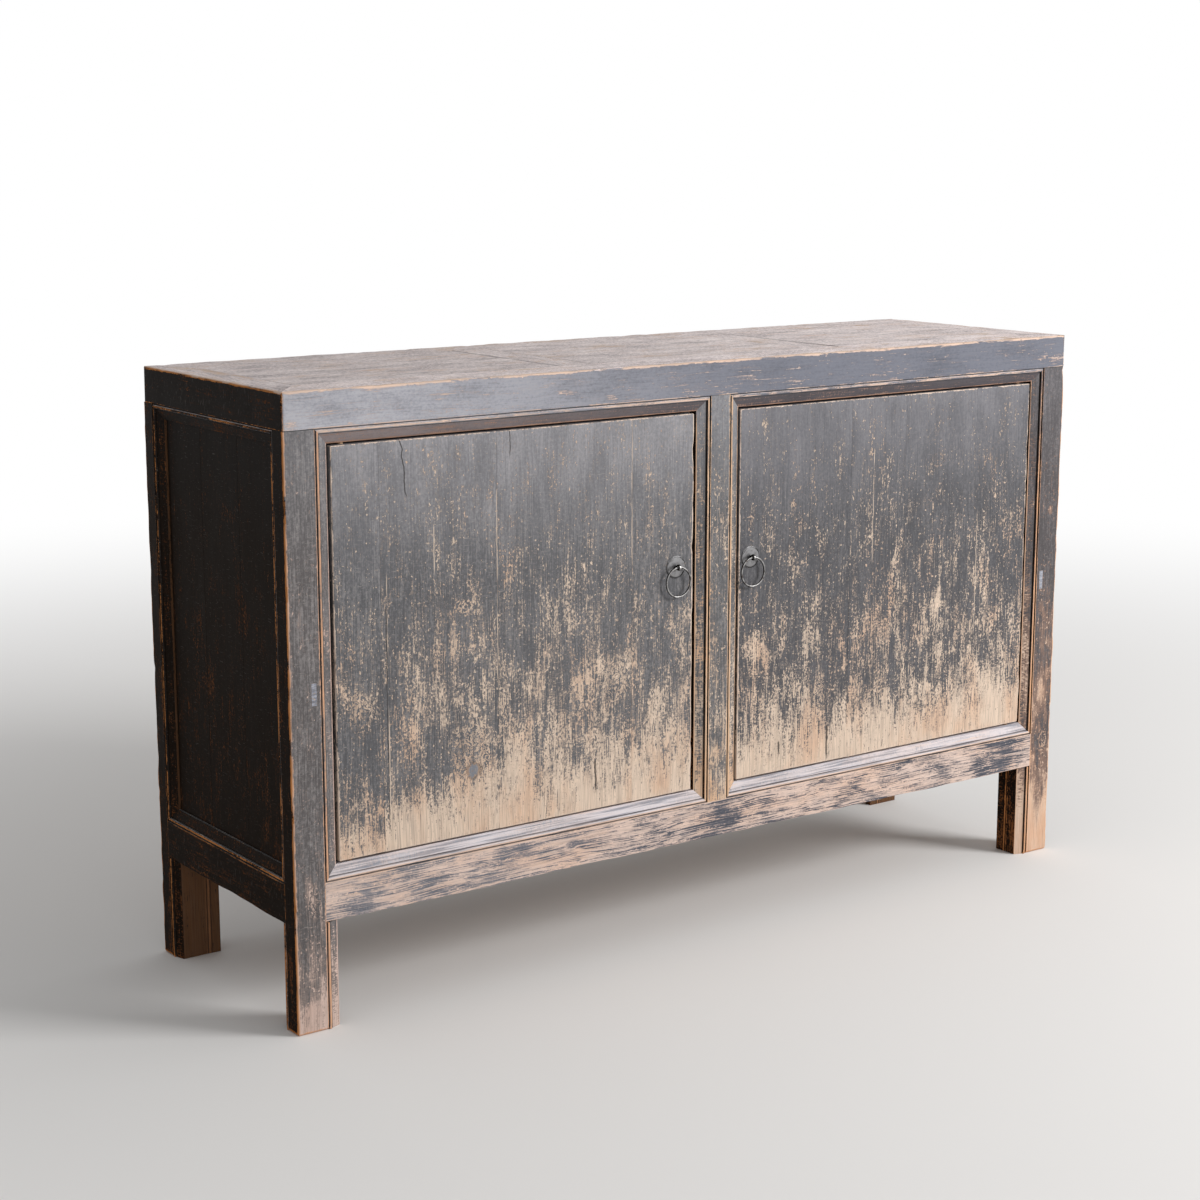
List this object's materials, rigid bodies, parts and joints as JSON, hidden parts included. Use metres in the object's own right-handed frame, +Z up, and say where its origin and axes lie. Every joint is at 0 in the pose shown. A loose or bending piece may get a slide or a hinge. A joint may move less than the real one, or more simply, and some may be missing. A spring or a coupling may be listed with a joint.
{
  "type": "kang cabinet",
  "caption": "Low lacquered wooden cabinet on square feet: moulded frame, panelled top and sides, flush pivoting doors with hanging ring pulls, shelf inside.",
  "frame": {"origin": "bottom centre of the whole box, ring pulls included, on the floor", "axes": "+X along the front to the viewer's right, +Y towards the back, +Z up"},
  "size_m": [1.4, 0.4124, 0.85],
  "materials": {
    "frame_lacquer": "worn black lacquer over wood, satin",
    "door_lacquer": "black-grey lacquer worn through to pale wood towards the foot, satin",
    "top_lacquer": "rubbed lacquer, grey-brown, satin",
    "side_lacquer": "dark lacquer with brown wear, satin",
    "bare_wood": "aged bare wood, matt",
    "iron": "blackened wrought iron, rubbed"
  },
  "bodies": {
    "carcass": {"back_board_left_1": "bare_wood", "back_board_left_2": "bare_wood", "back_board_right_1": "bare_wood", "back_board_right_2": "bare_wood", "back_centre_stile": "bare_wood", "bottom_back_rail": "frame_lacquer", "bottom_front_rail": "frame_lacquer", "bottom_left_rail": "frame_lacquer", "bottom_right_rail": "frame_lacquer", "centre_stile": "frame_lacquer", "floor_bearer_left": "bare_wood", "floor_bearer_right": "bare_wood", "floor_board_1": "bare_wood", "floor_board_2": "bare_wood", "floor_board_3": "bare_wood", "post_back_left": "frame_lacquer", "post_back_right": "frame_lacquer", "post_front_left": "frame_lacquer", "post_front_right": "frame_lacquer", "shelf_bearer_left": "bare_wood", "shelf_bearer_middle": "bare_wood", "shelf_bearer_right": "bare_wood", "shelf_board_1": "bare_wood", "shelf_board_2": "bare_wood", "side_board_left_1": "side_lacquer", "side_board_left_2": "side_lacquer", "side_board_left_3": "side_lacquer", "side_board_right_1": "side_lacquer", "side_board_right_2": "side_lacquer", "side_board_right_3": "side_lacquer", "top_back_rail": "frame_lacquer", "top_cross_bar_left": "top_lacquer", "top_cross_bar_right": "top_lacquer", "top_front_rail": "frame_lacquer", "top_left_rail": "frame_lacquer", "top_panel_left": "top_lacquer", "top_panel_middle": "top_lacquer", "top_panel_right": "top_lacquer", "top_right_rail": "frame_lacquer"},
    "door_left": {"door_left_batten_bottom": "bare_wood", "door_left_batten_top": "bare_wood", "door_left_board_1": "door_lacquer", "door_left_board_2": "door_lacquer", "door_left_board_3": "door_lacquer", "door_left_board_4": "door_lacquer", "door_left_pivots": "bare_wood", "pull_plate_left": "iron", "split_pin_left": "iron"},
    "door_right": {"door_right_batten_bottom": "bare_wood", "door_right_batten_top": "bare_wood", "door_right_board_1": "door_lacquer", "door_right_board_2": "door_lacquer", "door_right_board_3": "door_lacquer", "door_right_pivots": "bare_wood", "pull_plate_right": "iron", "split_pin_right": "iron"},
    "ring_left": {"pull_ring_left": "iron"},
    "ring_right": {"pull_ring_right": "iron"}
  },
  "joints": [
    {"name": "door_left_hinge", "type": "hinge", "parent": "carcass", "child": "door_left", "pos_m": [-0.6105, -0.1848, 0], "axis": [0, 0, -1], "range_deg": [0, 135]},
    {"name": "door_right_hinge", "type": "hinge", "parent": "carcass", "child": "door_right", "pos_m": [0.607, -0.1848, 0], "axis": [0, 0, 1], "range_deg": [0, 135]},
    {"name": "ring_left_swing", "type": "hinge", "parent": "door_left", "child": "ring_left", "pos_m": [-0.076, -0.2018, 0.56], "axis": [-1, 0, 0], "range_deg": [-6, 186]},
    {"name": "ring_right_swing", "type": "hinge", "parent": "door_right", "child": "ring_right", "pos_m": [0.0605, -0.2018, 0.56], "axis": [-1, 0, 0], "range_deg": [-6, 186]}
  ]
}
